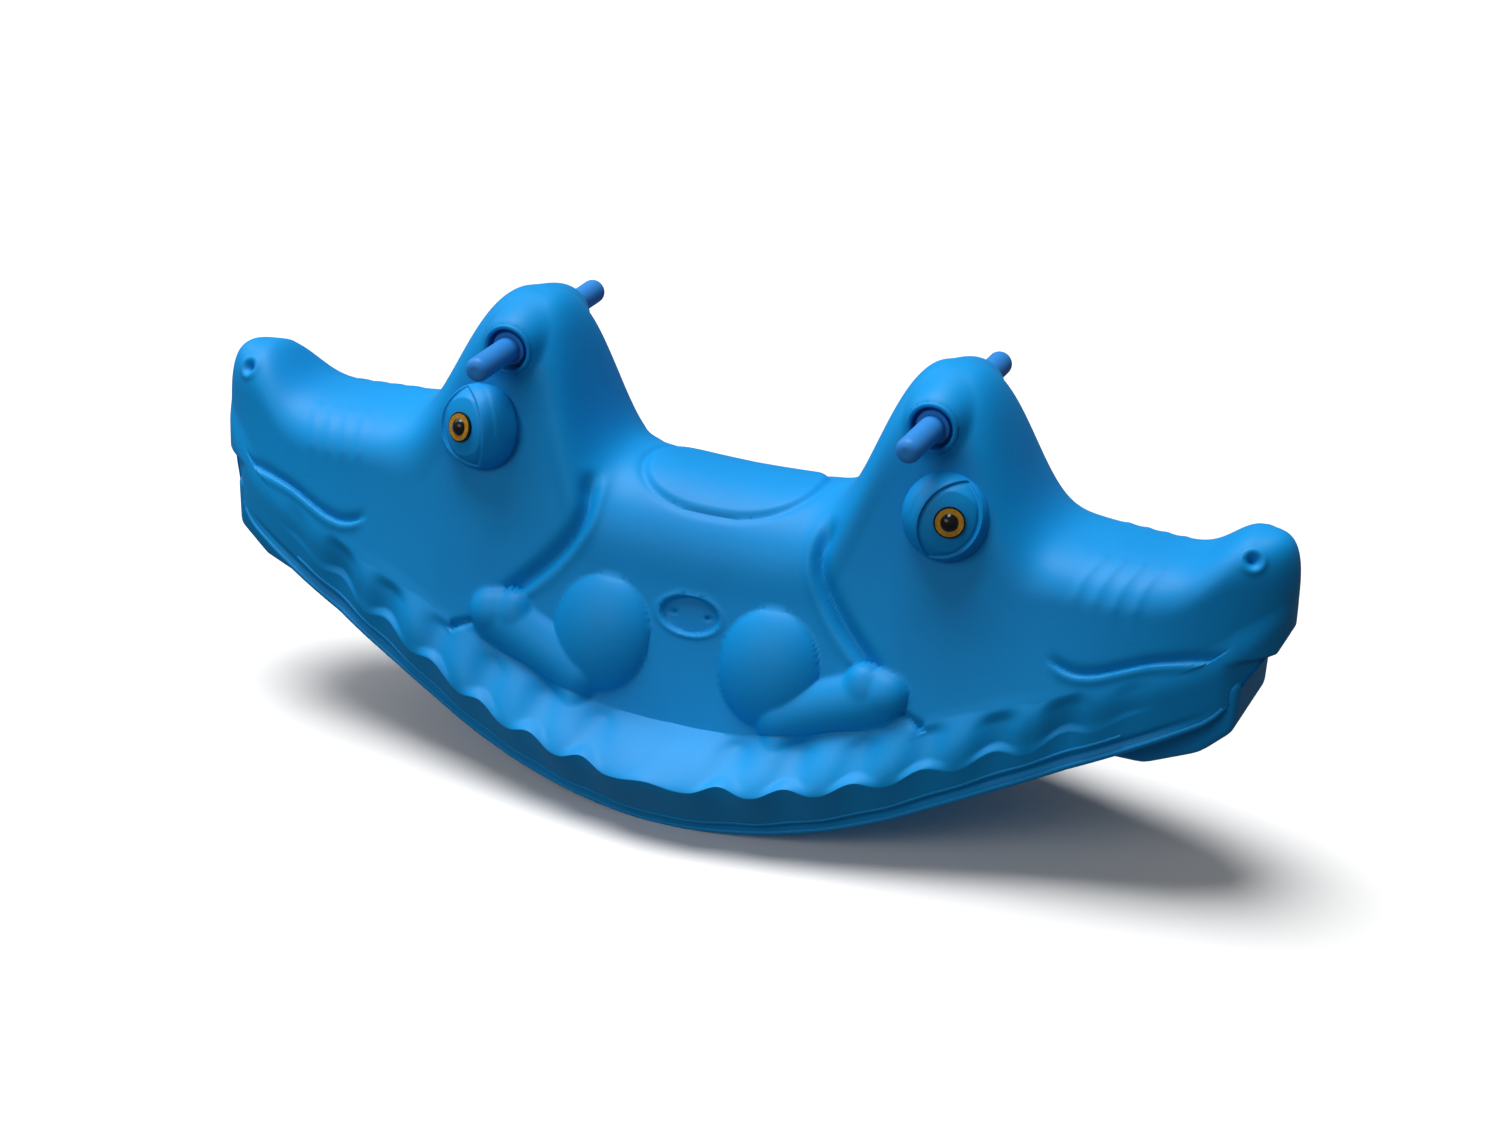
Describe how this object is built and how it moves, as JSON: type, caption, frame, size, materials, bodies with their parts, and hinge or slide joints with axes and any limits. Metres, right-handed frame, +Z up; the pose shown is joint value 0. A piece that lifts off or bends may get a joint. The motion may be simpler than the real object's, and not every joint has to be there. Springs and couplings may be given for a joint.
{
  "type": "rocking seesaw",
  "caption": "Hollow moulded crocodile seesaw with a head at each end, a rounded rocker underside, a middle seat, turning handle bars and push-in eyes.",
  "frame": {"origin": "on the ground under the middle of the rocker", "axes": "+X along the seesaw from the left head to the right head, +Y from the front side to the rear side, +Z up"},
  "size_m": [1.099, 0.406, 0.453],
  "materials": {
    "blue_plastic": "satin, faintly grained from the mould",
    "grip_plastic": "satin",
    "steel": "zinc plated",
    "bush_plastic": "smooth",
    "eye_black": "polished",
    "eye_amber": "polished, darker towards its rim"
  },
  "bodies": {
    "body": {"body_shell": "blue_plastic", "eye_back_left_front": "eye_black", "eye_back_left_rear": "eye_black", "eye_back_right_front": "eye_black", "eye_back_right_rear": "eye_black", "eye_iris_left_front": "eye_amber", "eye_iris_left_rear": "eye_amber", "eye_iris_right_front": "eye_amber", "eye_iris_right_rear": "eye_amber", "eye_lock_washers": "steel", "eye_pupil_left_front": "eye_black", "eye_pupil_left_rear": "eye_black", "eye_pupil_right_front": "eye_black", "eye_pupil_right_rear": "eye_black", "handle_bush_left_front": "bush_plastic", "handle_bush_left_rear": "bush_plastic", "handle_bush_right_front": "bush_plastic", "handle_bush_right_rear": "bush_plastic", "vent_plug": "blue_plastic"},
    "handle_left": {"handle_cap_left_front": "grip_plastic", "handle_cap_left_rear": "grip_plastic", "handle_grip_left_front": "grip_plastic", "handle_grip_left_rear": "grip_plastic", "handle_tube_left": "steel"},
    "handle_right": {"handle_cap_right_front": "grip_plastic", "handle_cap_right_rear": "grip_plastic", "handle_grip_right_front": "grip_plastic", "handle_grip_right_rear": "grip_plastic", "handle_tube_right": "steel"}
  },
  "joints": [
    {"name": "handle_left_turn", "type": "hinge", "parent": "body", "child": "handle_left", "pos_m": [-0.21395, 0, 0.412], "axis": [0, 1, 0], "continuous": true},
    {"name": "handle_right_turn", "type": "hinge", "parent": "body", "child": "handle_right", "pos_m": [0.21395, 0, 0.412], "axis": [0, 1, 0], "continuous": true}
  ]
}
